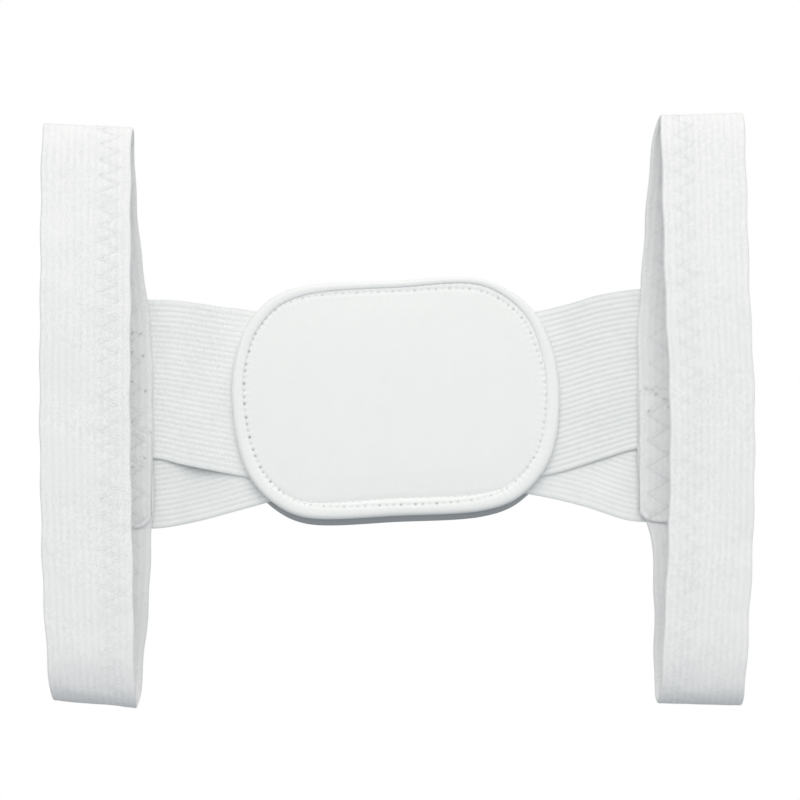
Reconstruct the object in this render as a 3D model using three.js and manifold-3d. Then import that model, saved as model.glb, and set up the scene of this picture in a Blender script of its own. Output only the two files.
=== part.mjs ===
// Posture corrector: a stitched foam pad for the back, four legs of ribbed elastic that leave it in
// two crossed layers, and a soft knitted loop for each shoulder, open as it is when worn.
// Millimetres. +X is the loop at the viewer's right, -Y faces the wearer, +Z is up. The origin is
// on the pad's wearer-side face.
import * as THREE from "three";
import Module from "manifold-3d";

// Pad
const PAD_WIDTH = 158;
const PAD_HEIGHT = 115;
const PAD_CENTRE_X = -2;
const PAD_CENTRE_Z = 1;
const FACE_THICKNESS = 6;
const FACE_CROWN = 1.2; // how far the face's edge lies behind its flat middle
const FACE_SHOULDER = 14; // width of the rounded border round that flat middle
const BINDING_WIDTH = 6.5;
const BINDING_RISE = 0.5; // how far the binding stands in front of the face
const BACKING_THICKNESS = 3;
const BACKING_DROP = 3.2; // how far the rear panel shows below the binding
const BACKING_ROUND = 1.4;

// Ribbed elastic legs
const BAND_WIDTH = 78;
const BAND_THICKNESS = 1.3;
const RIB_PITCH = 2.6;
const RIB_DEPTH = 0.25;
const LEG_REACH = 46; // from the pad's side to the front layer of a shoulder loop
const LEG_SWEEP = 6; // how far a leg bends forwards on its way to the loop
const LEG_LAP = 33; // length of leg sewn behind the strap
const LEG_PARTING = 1; // half the slot between left and right legs inside the pad

// Shoulder loops
const STRAP_WIDTH = 41;
const STRAP_THICKNESS = 2.2;
const STRAP_PULL = 0.2; // share of its width that the legs draw the back layer inwards
const LOOP_HEIGHT = 274;
const LOOP_DEPTH = 36; // between the middles of the front and back layers
const LOOP_BOTTOM = -142.4;
const FOLD_REACH = 0.25; // share of the loop's height over which a fold's slant dies away
const OVERLAP_THICKNESS = 1.2;
const OVERLAP_LENGTH = 58;
const OVERLAP_MARGIN = 0.5; // strap left showing beside the overlap
const OVERLAP_CORNER = 8;

// Clearance between neighbouring layers
const CLEARANCE = 0.3;

// How finely the curves are stepped
const OUTLINE_STEPS = 44;
const STEPS_PER_ROW = 3; // strap sections for each row of the loop's route
const BEAD_STEPS = 10;

// The pad's outline, anticlockwise from its right side as the wearer's back sees it: shares of
// half the pad's width and height, with straight stretches along the top and bottom.
const PAD_OUTLINE = [
  { across: 0.998, up: -0.04 },
  { across: 0.97, up: 0.33 },
  { across: 0.871, up: 0.67 },
  { across: 0.724, up: 0.873 },
  { across: 0.511, up: 1.0 },
  { across: 0.025, up: 0.984 },
  { across: -0.582, up: 0.93 },
  { across: -0.765, up: 0.826 },
  { across: -0.911, up: 0.597 },
  { across: -0.982, up: 0.313 },
  { across: -1.0, up: 0.035 },
  { across: -0.962, up: -0.4 },
  { across: -0.88, up: -0.685 },
  { across: -0.744, up: -0.883 },
  { across: -0.557, up: -1.0 },
  { across: 0.025, up: -0.986 },
  { across: 0.532, up: -0.943 },
  { across: 0.722, up: -0.856 },
  { across: 0.863, up: -0.685 },
  { across: 0.957, up: -0.452 },
];

// Each leg from the pad's middle outwards: reach is a share of the way to the strap's inner edge,
// rise is the height of the leg's middle line and spread its upright width, as shares of the band's.
const LEGS = [
  {
    name: "band_left_upper",
    side: -1,
    layer: 0,
    rows: [
      { reach: 0.0, rise: -0.115, spread: 1.03 },
      { reach: 0.61, rise: 0.034, spread: 1.037 },
      { reach: 0.76, rise: 0.07, spread: 1.025 },
      { reach: 0.9, rise: 0.107, spread: 1.01 },
      { reach: 1.0, rise: 0.128, spread: 0.98 },
      { reach: 1.3, rise: 0.14, spread: 0.97 },
    ],
  },
  {
    name: "band_left_lower",
    side: -1,
    layer: 1,
    rows: [
      { reach: 0.0, rise: 0.08, spread: 1.03 },
      { reach: 0.55, rise: -0.122, spread: 1.03 },
      { reach: 0.69, rise: -0.182, spread: 1.025 },
      { reach: 0.84, rise: -0.249, spread: 1.01 },
      { reach: 1.0, rise: -0.302, spread: 0.98 },
      { reach: 1.3, rise: -0.31, spread: 0.97 },
    ],
  },
  {
    name: "band_right_upper",
    side: 1,
    layer: 0,
    rows: [
      { reach: 0.0, rise: -0.135, spread: 1.03 },
      { reach: 0.58, rise: 0.037, spread: 1.03 },
      { reach: 0.69, rise: 0.078, spread: 1.03 },
      { reach: 0.83, rise: 0.142, spread: 1.02 },
      { reach: 1.0, rise: 0.195, spread: 0.98 },
      { reach: 1.3, rise: 0.2, spread: 0.97 },
    ],
  },
  {
    name: "band_right_lower",
    side: 1,
    layer: 1,
    rows: [
      { reach: 0.0, rise: 0.05, spread: 1.03 },
      { reach: 0.56, rise: -0.076, spread: 1.03 },
      { reach: 0.76, rise: -0.149, spread: 1.02 },
      { reach: 0.92, rise: -0.241, spread: 0.99 },
      { reach: 1.0, rise: -0.262, spread: 0.98 },
      { reach: 1.3, rise: -0.27, spread: 0.97 },
    ],
  },
];

// Each loop: its height and strap width as shares of the named ones, how far its folds slant down
// towards the inner edge, the width left at its bottom fold, and the overlap on its inner face.
const LOOPS = [
  {
    name: "left",
    side: -1,
    pull: "pullLeft",
    leg: "band_left_lower",
    height: 0.99,
    width: 1.03,
    topSlant: 1.9,
    bottomSlant: 3.8,
    bottomWidth: 0.95,
    overlap: 0.89,
    overlapCut: 5,
  },
  {
    name: "right",
    side: 1,
    pull: "pullRight",
    leg: "band_right_lower",
    height: 1.01,
    width: 0.965,
    topSlant: 1,
    bottomSlant: -1,
    bottomWidth: 1,
    overlap: 1.11,
    overlapCut: 1,
  },
];

// The loop's route, up the back layer, over the top fold, down the front layer and round the
// bottom fold: height as a share of the loop's, depth forwards as a share of the loop's depth, and
// how far each loop's strap is drawn towards the pad, as shares of the strap's width.
const LOOP_ROUTE = [
  { height: 0.0, depth: 0.5, pullLeft: 0.06, pullRight: 0.09 },
  { height: 0.019, depth: 0.15, pullLeft: 0.06, pullRight: 0.09 },
  { height: 0.066, depth: 0.0, pullLeft: 0.07, pullRight: 0.08 },
  { height: 0.17, depth: 0.0, pullLeft: 0.12, pullRight: 0.08 },
  { height: 0.28, depth: 0.0, pullLeft: 0.14, pullRight: 0.12 },
  { height: 0.33, depth: 0.0, pullLeft: 0.165, pullRight: 0.22 },
  { height: 0.42, depth: 0.0, pullLeft: 0.165, pullRight: 0.27 },
  { height: 0.53, depth: 0.0, pullLeft: 0.16, pullRight: 0.27 },
  { height: 0.64, depth: 0.0, pullLeft: 0.14, pullRight: 0.27 },
  { height: 0.71, depth: 0.0, pullLeft: 0.09, pullRight: 0.23 },
  { height: 0.78, depth: 0.03, pullLeft: 0.03, pullRight: 0.15 },
  { height: 0.88, depth: 0.12, pullLeft: -0.02, pullRight: 0.09 },
  { height: 0.98, depth: 0.28, pullLeft: -0.03, pullRight: 0.06 },
  { height: 1.0, depth: 0.42, pullLeft: -0.03, pullRight: 0.06 },
  { height: 0.98, depth: 0.56, pullLeft: -0.03, pullRight: 0.06 },
  { height: 0.88, depth: 0.75, pullLeft: -0.02, pullRight: 0.06 },
  { height: 0.7, depth: 0.95, pullLeft: 0.0, pullRight: 0.05 },
  { height: 0.5, depth: 1.0, pullLeft: 0.0, pullRight: 0.0 },
  { height: 0.27, depth: 1.0, pullLeft: 0.025, pullRight: 0.02 },
  { height: 0.15, depth: 0.99, pullLeft: 0.045, pullRight: 0.06 },
  { height: 0.066, depth: 0.97, pullLeft: 0.06, pullRight: 0.08 },
  { height: 0.019, depth: 0.85, pullLeft: 0.06, pullRight: 0.09 },
];

// Sections of a leg between the pad's side and the strap, as shares of the way.
const BEND_SHARES = [0.0, 0.35, 0.67, 1.0];

// Half the strap's section from one edge to the other: across is a share of the strap's half
// width, and body a share of its half thickness.
const STRAP_SECTION = [
  { across: 1.0, body: 0.45 },
  { across: 0.94, body: 1.0 },
  { across: 0.0, body: 1.0 },
  { across: -0.94, body: 1.0 },
  { across: -1.0, body: 0.45 },
];

// Layers, from the wearer's side backwards
const BAND_FRONT_Y = FACE_THICKNESS + CLEARANCE;
const BAND_STEP = BAND_THICKNESS + CLEARANCE;
const BACKING_FRONT_Y = BAND_FRONT_Y + 2 * BAND_STEP;
const BACKING_REAR_Y = BACKING_FRONT_Y + BACKING_THICKNESS;
const STRAP_BACK_Y = FACE_THICKNESS - LEG_SWEEP - STRAP_THICKNESS / 2;
const LOOP_INNER_X = PAD_WIDTH / 2 + LEG_REACH;
const PAD_SIDE_X = PAD_WIDTH / 2 + Math.abs(PAD_CENTRE_X);
const STRAP_EDGE_X = LOOP_INNER_X - STRAP_PULL * STRAP_WIDTH; // where a leg meets the strap

const wasm = await Module();
wasm.setup();

// A closed skin over rings of equal length that turn anticlockwise about the way they advance.
// A loop of rings meets its own start. Otherwise both ends are closed by flat ladders of faces.
function skin(rings, isLoop) {
  const size = rings[0].length;
  const faces = [];
  rings.forEach((ring, i) => {
    if (i === rings.length - 1 && !isLoop) return;
    const here = i * size;
    const next = ((i + 1) % rings.length) * size;
    for (let j = 0; j < size; j++) {
      const k = (j + 1) % size;
      faces.push(here + j, here + k, next + k, here + j, next + k, next + j);
    }
  });
  if (!isLoop) {
    const last = (rings.length - 1) * size;
    for (let j = 0; j < size / 2 - 1; j++) {
      const [a, b, c, d] = [j, j + 1, size - 2 - j, size - 1 - j];
      faces.push(a, c, b, a, d, c);
      faces.push(last + a, last + b, last + c, last + a, last + c, last + d);
    }
  }
  const geometry = new THREE.BufferGeometry().setFromPoints(rings.flat());
  geometry.setIndex(faces);
  geometry.computeVertexNormals();
  return geometry;
}

// A column's value at a reach along a leg's rows.
function valueAt(rows, reach, column) {
  const above = rows.findIndex((row) => row.reach >= reach);
  if (above < 1) return rows[above === 0 ? 0 : rows.length - 1][column];
  const [a, b] = [rows[above - 1], rows[above]];
  return THREE.MathUtils.mapLinear(reach, a.reach, b.reach, a[column], b[column]);
}

const padCurve = new THREE.CatmullRomCurve3(
  PAD_OUTLINE.map(
    ({ across, up }) =>
      new THREE.Vector3(
        PAD_CENTRE_X + (across * PAD_WIDTH) / 2,
        0,
        PAD_CENTRE_Z + (up * PAD_HEIGHT) / 2,
      ),
  ),
  true,
);

// Points of the pad's outline drawn in by inset, at depth y, with its bottom lowered by drop.
function padRing(y, inset, drop = 0) {
  return Array.from({ length: OUTLINE_STEPS }, (_, i) => {
    const place = padCurve.getPointAt(i / OUTLINE_STEPS);
    const along = padCurve.getTangentAt(i / OUTLINE_STEPS);
    const low = 0.5 - (place.z - PAD_CENTRE_Z) / PAD_HEIGHT;
    return new THREE.Vector3(
      place.x - inset * along.z,
      y,
      place.z + inset * along.x - low * drop,
    );
  });
}

function padFront() {
  const edge = BINDING_WIDTH + CLEARANCE;
  return skin(
    [
      padRing(FACE_THICKNESS, edge),
      padRing(FACE_CROWN, edge),
      padRing(FACE_CROWN / 3, edge + FACE_SHOULDER / 3),
      padRing(0, edge + FACE_SHOULDER),
    ],
    false,
  );
}

// A bead of rounded, nearly square section that runs round the pad.
function padBinding() {
  const halfWidth = BINDING_WIDTH / 2;
  const halfDepth = (FACE_THICKNESS + BINDING_RISE) / 2;
  const middleY = FACE_THICKNESS - halfDepth;
  const rounded = (value) => Math.sign(value) * Math.sqrt(Math.abs(value));
  const sections = Array.from({ length: BEAD_STEPS }, (_, k) => {
    const angle = (2 * Math.PI * (k + 0.5)) / BEAD_STEPS;
    const inset = halfWidth * (1 - rounded(Math.cos(angle)));
    return padRing(middleY + halfDepth * rounded(Math.sin(angle)), inset);
  });
  const rings = Array.from({ length: OUTLINE_STEPS }, (_, i) =>
    sections.map((section) => section[i]),
  );
  return skin(rings, true);
}

// How far a leg has bent forwards at a distance from the middle.
function sweepAt(x) {
  return LEG_SWEEP * THREE.MathUtils.smoothstep(Math.abs(x), PAD_SIDE_X, STRAP_EDGE_X);
}

// Distances from the middle at which every leg takes a section, so that layers bend alike.
const LEG_STATIONS = [
  LEG_PARTING,
  ...BEND_SHARES.map((share) => THREE.MathUtils.lerp(PAD_SIDE_X, STRAP_EDGE_X, share)),
  STRAP_EDGE_X + LEG_LAP,
];

// The upright reach of a leg at a distance from the middle.
function legEdges(leg, distance) {
  const reach = distance / STRAP_EDGE_X;
  const middle = valueAt(leg.rows, reach, "rise") * BAND_WIDTH;
  const half = (valueAt(leg.rows, reach, "spread") * BAND_WIDTH) / 2;
  return { top: middle + half, bottom: middle - half };
}

// One upright section of a leg, rib by rib down its front and back up its rear.
function legRing(leg, distance, frontY, rearY, margin, ribs) {
  const x = leg.side * distance;
  const { top, bottom } = legEdges(leg, distance);
  const steps = Math.max(1, 2 * ribs);
  const bend = sweepAt(x);
  const side = (y, inwards) =>
    Array.from({ length: steps + 1 }, (_, i) => {
      const groove = ribs > 0 && i % 2 === 0 ? RIB_DEPTH : 0;
      const z = THREE.MathUtils.lerp(top + margin, bottom - margin, i / steps);
      return new THREE.Vector3(x, y - bend + inwards * groove, z);
    });
  return [...side(frontY, 1), ...side(rearY, -1).reverse()];
}

// A leg's sections are taken from the left to the right, whichever side it lies on.
const fromLeft = (leg, rings) => (leg.side > 0 ? rings : rings.reverse());

function bandLeg(leg) {
  const frontY = BAND_FRONT_Y + leg.layer * BAND_STEP;
  const ribs = Math.round(BAND_WIDTH / RIB_PITCH);
  const rings = LEG_STATIONS.map((distance) =>
    legRing(leg, distance, frontY, frontY + BAND_THICKNESS, 0, ribs),
  );
  return skin(fromLeft(leg, rings), false);
}

// The space a leg needs between the pad's panels, from past the middle to beyond the pad's side.
function legPocket(leg) {
  const rings = [-LEG_PARTING, ...LEG_STATIONS.slice(0, 3)].map((distance) =>
    legRing(leg, distance, 0, BACKING_FRONT_Y, CLEARANCE, 0),
  );
  return skin(fromLeft(leg, rings), false);
}

function solidOf(geometry) {
  const mesh = new wasm.Mesh({
    numProp: 3,
    vertProperties: geometry.getAttribute("position").array,
    triVerts: new Uint32Array(geometry.index.array),
  });
  return new wasm.Manifold(mesh);
}

// The rear panel: a shallow tray whose lips close the pad at top and bottom.
function padBack() {
  const round = Math.min(BACKING_ROUND, (BACKING_REAR_Y - BAND_FRONT_Y) / 3);
  const ring = (y, inset) => padRing(y, inset, BACKING_DROP);
  const tray = skin(
    [
      ring(BACKING_REAR_Y, round),
      ring(BACKING_REAR_Y - round, 0),
      ring(BAND_FRONT_Y + round, 0),
      ring(BAND_FRONT_Y, round),
    ],
    false,
  );
  const cut = LEGS.reduce((left, leg) => left.subtract(solidOf(legPocket(leg))), solidOf(tray));
  const { vertProperties, triVerts } = cut.getMesh();
  const geometry = new THREE.BufferGeometry();
  geometry.setAttribute("position", new THREE.BufferAttribute(vertProperties, 3));
  geometry.setIndex(new THREE.BufferAttribute(triVerts, 1));
  geometry.computeVertexNormals();
  return geometry;
}

// The middle line of a loop's strap.
function loopCurve(loop) {
  const points = LOOP_ROUTE.map((row) => {
    const inner = LOOP_INNER_X - row[loop.pull] * STRAP_WIDTH;
    return new THREE.Vector3(
      loop.side * (inner + (loop.width * STRAP_WIDTH) / 2),
      STRAP_BACK_Y - row.depth * LOOP_DEPTH,
      LOOP_BOTTOM + row.height * loop.height * LOOP_HEIGHT,
    );
  });
  return new THREE.CatmullRomCurve3(points, true);
}

// A closed loop of strap: its section is carried round the route, square to it.
function shoulderLoop(loop) {
  const curve = loopCurve(loop);
  const height = loop.height * LOOP_HEIGHT;
  const steps = STEPS_PER_ROW * LOOP_ROUTE.length;
  const rings = Array.from({ length: steps }, (_, i) => {
    const place = curve.getPoint(i / steps);
    const along = curve.getTangent(i / steps).setX(0).normalize();
    const rise = (place.z - LOOP_BOTTOM) / height;
    const low = 1 - THREE.MathUtils.smoothstep(rise, 0, FOLD_REACH);
    const high = THREE.MathUtils.smoothstep(rise, 1 - FOLD_REACH, 1);
    const slant = loop.bottomSlant * low + loop.topSlant * high;
    const width = loop.width * STRAP_WIDTH * THREE.MathUtils.lerp(1, loop.bottomWidth, low);
    const chain = (out) =>
      STRAP_SECTION.map(({ across, body }) => {
        const lift = (out * body * STRAP_THICKNESS) / 2;
        return new THREE.Vector3(
          place.x + (across * width) / 2,
          place.y + lift * along.z,
          place.z - lift * along.y + (loop.side * across * slant) / 2,
        );
      });
    return [...chain(1), ...chain(-1).reverse()];
  });
  return skin(rings, true);
}

// The strap's end, sewn flat on the inner face of the back layer down to the lower leg's edge.
function strapOverlap(loop) {
  const leg = LEGS.find(({ name }) => name === loop.leg);
  const { bottom } = legEdges(leg, STRAP_EDGE_X);
  const top = bottom + loop.overlap * OVERLAP_LENGTH;
  const pull = Math.max(...LOOP_ROUTE.map((row) => row[loop.pull]));
  const inner = LOOP_INNER_X - pull * STRAP_WIDTH + OVERLAP_MARGIN;
  const outer = inner + loop.width * STRAP_WIDTH - 2 * OVERLAP_MARGIN;
  const shape = new THREE.Shape();
  shape.moveTo(loop.side * inner, bottom + OVERLAP_CORNER);
  shape.quadraticCurveTo(
    loop.side * inner,
    bottom,
    loop.side * (inner + OVERLAP_CORNER),
    bottom,
  );
  shape.lineTo(loop.side * outer, bottom);
  shape.lineTo(loop.side * outer, top);
  shape.lineTo(loop.side * (inner + OVERLAP_CORNER), top);
  shape.lineTo(loop.side * inner, top - loop.overlapCut);
  const geometry = new THREE.ExtrudeGeometry(shape, {
    depth: OVERLAP_THICKNESS,
    bevelEnabled: false,
    curveSegments: 6,
  });
  geometry.rotateX(Math.PI / 2);
  geometry.translate(0, STRAP_BACK_Y - STRAP_THICKNESS / 2 - CLEARANCE, 0);
  return geometry;
}

const FINISHES = {
  face: { color: "#f3f4f4", roughness: 0.6 },
  tape: { color: "#edeeef", roughness: 0.8 },
  backing: { color: "#e6e8e9", roughness: 0.9 },
  elastic: { color: "#e9ebed", roughness: 0.85 },
  knit: { color: "#f0f1f3", roughness: 0.95 },
};

const corrector = new THREE.Group();

function add(name, geometry, finish) {
  const material = new THREE.MeshStandardMaterial({ ...FINISHES[finish], metalness: 0 });
  const mesh = new THREE.Mesh(geometry, material);
  mesh.name = name;
  corrector.add(mesh);
}

add("pad_front", padFront(), "face");
add("pad_binding", padBinding(), "tape");
add("pad_back", padBack(), "backing");
LEGS.forEach((leg) => add(leg.name, bandLeg(leg), "elastic"));
LOOPS.forEach((loop) => {
  add(`shoulder_loop_${loop.name}`, shoulderLoop(loop), "knit");
  add(`strap_overlap_${loop.name}`, strapOverlap(loop), "knit");
});

export default corrector;
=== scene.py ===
"""Posture corrector: the cloth, foam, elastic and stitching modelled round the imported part.

Lengths in the classes are millimetres, in the part's own frame: +X is the loop at the viewer's
right, -Y faces the wearer and +Z is up. Every mesh is scaled to metres when its piece is finished.
"""

import logging
import math
from bisect import bisect_right
from collections.abc import Callable, Iterable
from dataclasses import dataclass
from enum import Enum
from typing import TypeVar

import bmesh
import bpy
from mathutils import Matrix, Vector


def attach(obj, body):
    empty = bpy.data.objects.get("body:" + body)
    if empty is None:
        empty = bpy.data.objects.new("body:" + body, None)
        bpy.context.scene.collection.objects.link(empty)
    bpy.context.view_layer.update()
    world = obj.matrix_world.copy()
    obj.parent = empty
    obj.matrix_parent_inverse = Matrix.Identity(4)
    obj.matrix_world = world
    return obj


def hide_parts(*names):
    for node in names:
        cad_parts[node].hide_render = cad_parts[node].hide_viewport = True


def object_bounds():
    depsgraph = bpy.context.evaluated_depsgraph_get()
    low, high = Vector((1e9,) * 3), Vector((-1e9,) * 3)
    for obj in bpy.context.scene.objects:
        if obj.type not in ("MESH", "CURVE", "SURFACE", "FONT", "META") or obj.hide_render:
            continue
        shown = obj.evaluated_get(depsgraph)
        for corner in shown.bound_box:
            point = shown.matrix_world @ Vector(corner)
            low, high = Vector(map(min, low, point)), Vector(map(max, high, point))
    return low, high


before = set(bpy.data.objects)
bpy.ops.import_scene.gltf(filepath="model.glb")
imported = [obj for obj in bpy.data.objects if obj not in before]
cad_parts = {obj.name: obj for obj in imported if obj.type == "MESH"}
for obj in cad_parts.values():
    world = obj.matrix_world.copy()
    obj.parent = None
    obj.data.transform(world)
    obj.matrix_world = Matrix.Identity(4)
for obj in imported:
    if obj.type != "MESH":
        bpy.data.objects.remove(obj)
CAD_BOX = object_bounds()

LOG = logging.getLogger("posture_corrector")
METRES = 0.001
BODY = "root"
CLOTH_MAP = "Cloth"
# Each point's painted shade: in needle holes, under thread, between ribs, at seams and under the
# pad.
PAINTED_SHADE_LAYER = "painted_shade_points"
FORWARDS, BACKWARDS = Vector((0, -1, 0)), Vector((0, 1, 0))
Amount = TypeVar("Amount", float, Vector)


class Side(Enum):
    """The sides of the corrector as the viewer sees it."""

    LEFT = -1
    RIGHT = 1


class Slot(Enum):
    """The record's material slots."""

    FACE = "pad_face"
    TAPE = "binding_tape"
    BACKING = "backing"
    ELASTIC = "ribbed_elastic"
    KNIT = "knit_strap"


def smoothstep(value: float, low: float, high: float) -> float:
    """Eases from 0 at low to 1 at high.

    Args:
        value: where to read the curve.
        low: where it leaves 0.
        high: where it reaches 1.

    Returns:
        The eased share.
    """
    share = min(1.0, max(0.0, (value - low) / (high - low)))
    return share * share * (3 - 2 * share)


def mix(low: float, high: float, share: float) -> float:
    """The value that lies share of the way from low to high."""
    return low + (high - low) * share


def bell(distance: float, width: float) -> float:
    """A soft hump of height 1 that has faded by twice its width."""
    return math.exp(-((distance / width) ** 2))


def linear(hex_code: str) -> tuple[float, float, float, float]:
    """Turns an sRGB colour into the linear one that shaders take.

    Args:
        hex_code: the colour as #RRGGBB.

    Returns:
        Linear red, green and blue, and an alpha of 1.
    """
    levels = [int(hex_code[i : i + 2], 16) / 255 for i in (1, 3, 5)]
    red, green, blue = (c / 12.92 if c <= 0.04045 else ((c + 0.055) / 1.055) ** 2.4 for c in levels)
    return red, green, blue, 1.0


def hermite(here: Amount, leave: Amount, there: Amount, reach: Amount, share: float) -> Amount:
    """Reads a cubic curve between two values.

    Args:
        here: the value that it leaves.
        leave: its slope there.
        there: the value that it reaches.
        reach: its slope there.
        share: how far along, from 0 to 1.

    Returns:
        The value at that share.
    """
    square, cube = share**2, share**3
    return (
        (2 * cube - 3 * square + 1) * here
        + (cube - 2 * square + share) * leave
        + (3 * square - 2 * cube) * there
        + (cube - square) * reach
    )


def along_rows(rows: list[tuple[float, ...]], at: float, column: int) -> float:
    """Reads a column of a table smoothly between its rows.

    Args:
        rows: rows in rising order of their first column.
        at: where to read, in the units of the first column.
        column: which column to read.

    Returns:
        The value there, level beyond both ends.
    """
    place = min(len(rows) - 2, max(0, bisect_right([row[0] for row in rows], at) - 1))
    here, there = rows[place], rows[place + 1]
    before, after = rows[max(0, place - 1)], rows[min(len(rows) - 1, place + 2)]
    step = there[0] - here[0]
    share = min(1.0, max(0.0, (at - here[0]) / step))
    start = (there[column] - before[column]) / (there[0] - before[0]) * step
    end = (after[column] - here[column]) / (after[0] - here[0]) * step
    return hermite(here[column], start, there[column], end, share)


class ClosedCurve:
    """A closed centripetal curve through a few points, read by its length."""

    FINENESS = 40

    def __init__(self, points: list[Vector]) -> None:
        """Lays the curve.

        Args:
            points: the points that it passes through.
        """
        self.marks = [
            self._between(points, i, k / self.FINENESS)
            for i in range(len(points))
            for k in range(self.FINENESS)
        ]
        self.marks.append(self.marks[0].copy())
        self.lengths = [0.0]
        for here, there in zip(self.marks, self.marks[1:]):
            self.lengths.append(self.lengths[-1] + (there - here).length)
        self.length = self.lengths[-1]

    @staticmethod
    def _between(points: list[Vector], index: int, share: float) -> Vector:
        """A point between one of the curve's points and the next.

        Args:
            points: the points of the whole curve.
            index: the point that the stretch starts from.
            share: how far along the stretch.

        Returns:
            The point on the curve.
        """
        a, b, c, d = (points[(index + k) % len(points)] for k in (-1, 0, 1, 2))
        before, step, after = ((q - p).length ** 0.5 for p, q in ((a, b), (b, c), (c, d)))
        leave = ((b - a) / before - (c - a) / (before + step) + (c - b) / step) * step
        reach = ((c - b) / step - (d - b) / (step + after) + (d - c) / after) * step
        return hermite(b, leave, c, reach, share)

    def point(self, share: float) -> Vector:
        """The point at a share of the curve's length."""
        at = (share % 1.0) * self.length
        i = min(len(self.marks) - 2, bisect_right(self.lengths, at) - 1)
        step = self.lengths[i + 1] - self.lengths[i]
        return self.marks[i].lerp(self.marks[i + 1], (at - self.lengths[i]) / step)

    def tangent(self, share: float) -> Vector:
        """The curve's direction at a share of its length, taken over a few millimetres."""
        reach = 1.5 / self.length
        return (self.point(share + reach) - self.point(share - reach)).normalized()


@dataclass(frozen=True)
class ClothGrid:
    """A grid of quads laid over a surface, with its cloth's millimetres as UV map."""

    columns: int
    rows: int
    width: float
    length: float

    def build(
        self,
        place: Callable[[int, int], Vector],
        hole: Callable[[int, int], float] | None = None,
    ) -> bmesh.types.BMesh:
        """Lays the grid over a surface and closes its seams.

        Args:
            place: the surface's point for a column and a row.
            hole: the painted shade at that point, in needle holes, under thread, between ribs or at
                seams, from 0 to 1.

        Returns:
            The mesh, with coincident points merged and its faces turned out.
        """
        mesh = bmesh.new()
        cloth = mesh.loops.layers.uv.new(CLOTH_MAP)
        # The layer that holds each point's painted shade.
        depth = mesh.verts.layers.float.new(PAINTED_SHADE_LAYER)
        bmesh.ops.create_grid(
            mesh, x_segments=self.columns, y_segments=self.rows, size=0.5, calc_uvs=True
        )
        for face in mesh.faces:
            face.smooth = True
            for corner in face.loops:
                across, along = corner[cloth].uv
                corner[cloth].uv = (across * self.width, along * self.length)
        for vert in mesh.verts:
            column = round((vert.co.x + 0.5) * self.columns)
            row = round((vert.co.y + 0.5) * self.rows)
            vert.co = place(column, row)
            if hole is not None:
                vert[depth] = hole(column, row)
        bmesh.ops.remove_doubles(mesh, verts=mesh.verts, dist=0.0005)
        bmesh.ops.recalc_face_normals(mesh, faces=mesh.faces)
        return mesh


def link(name: str, data: bpy.types.ID) -> bpy.types.Object:
    """Puts an object with this data in the scene."""
    thing = bpy.data.objects.new(name, data)
    bpy.context.scene.collection.objects.link(thing)
    return thing


def as_object(name: str, mesh: bmesh.types.BMesh) -> bpy.types.Object:
    """Makes an object of a mesh, which is used up, and puts it in the scene."""
    data = bpy.data.meshes.new(name)
    mesh.to_mesh(data)
    mesh.free()
    return link(name, data)


def close_rim(mesh: bmesh.types.BMesh) -> None:
    """Closes a mesh's open ends and turns its faces out."""
    bmesh.ops.holes_fill(mesh, edges=[edge for edge in mesh.edges if edge.is_boundary])
    bmesh.ops.recalc_face_normals(mesh, faces=mesh.faces)


def face_forwards(mesh: bmesh.types.BMesh) -> None:
    """Turns an open sheet's faces forwards."""
    if sum(face.normal.y for face in mesh.faces) > 0:
        bmesh.ops.reverse_faces(mesh, faces=mesh.faces)


def dress(
    name: str,
    mesh: bmesh.types.BMesh,
    material: bpy.types.Material,
    slot: Slot,
    replaced: Iterable[str] = (),
) -> bpy.types.Object:
    """Makes a piece of a mesh in millimetres, gives it its finish and lets it ride on the part.

    Args:
        name: the piece's name.
        mesh: its mesh, which is used up.
        material: its finish.
        slot: the record's slot for that finish; not used.
        replaced: the part's nodes that it stands for.

    Returns:
        The finished piece.
    """
    bmesh.ops.transform(mesh, matrix=Matrix.Scale(METRES, 4), verts=mesh.verts)
    piece = as_object(name, mesh)
    piece.data.materials.append(material)
    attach(piece, BODY)
    if replaced:
        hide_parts(*replaced)
    LOG.info("%s: %d faces", name, len(piece.data.polygons))
    return piece


def add_node(
    tree: bpy.types.NodeTree,
    kind: str,
    values: dict[str | int, object] | None = None,
    links: dict[str | int, bpy.types.NodeSocket] | None = None,
    **settings: object,
) -> bpy.types.Node:
    """Adds a node with its settings, its sockets' values and its links.

    Args:
        tree: the node tree.
        kind: the node's type name.
        values: values for its inputs, by name or number.
        links: outputs that feed its inputs, by the input's name or number.
        settings: the node's own properties.

    Returns:
        The node.
    """
    node = tree.nodes.new(kind)
    for key, value in settings.items():
        setattr(node, key, value)
    for key, value in (values or {}).items():
        node.inputs[key].default_value = value
    for key, source in (links or {}).items():
        tree.links.new(source, node.inputs[key])
    return node


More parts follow.
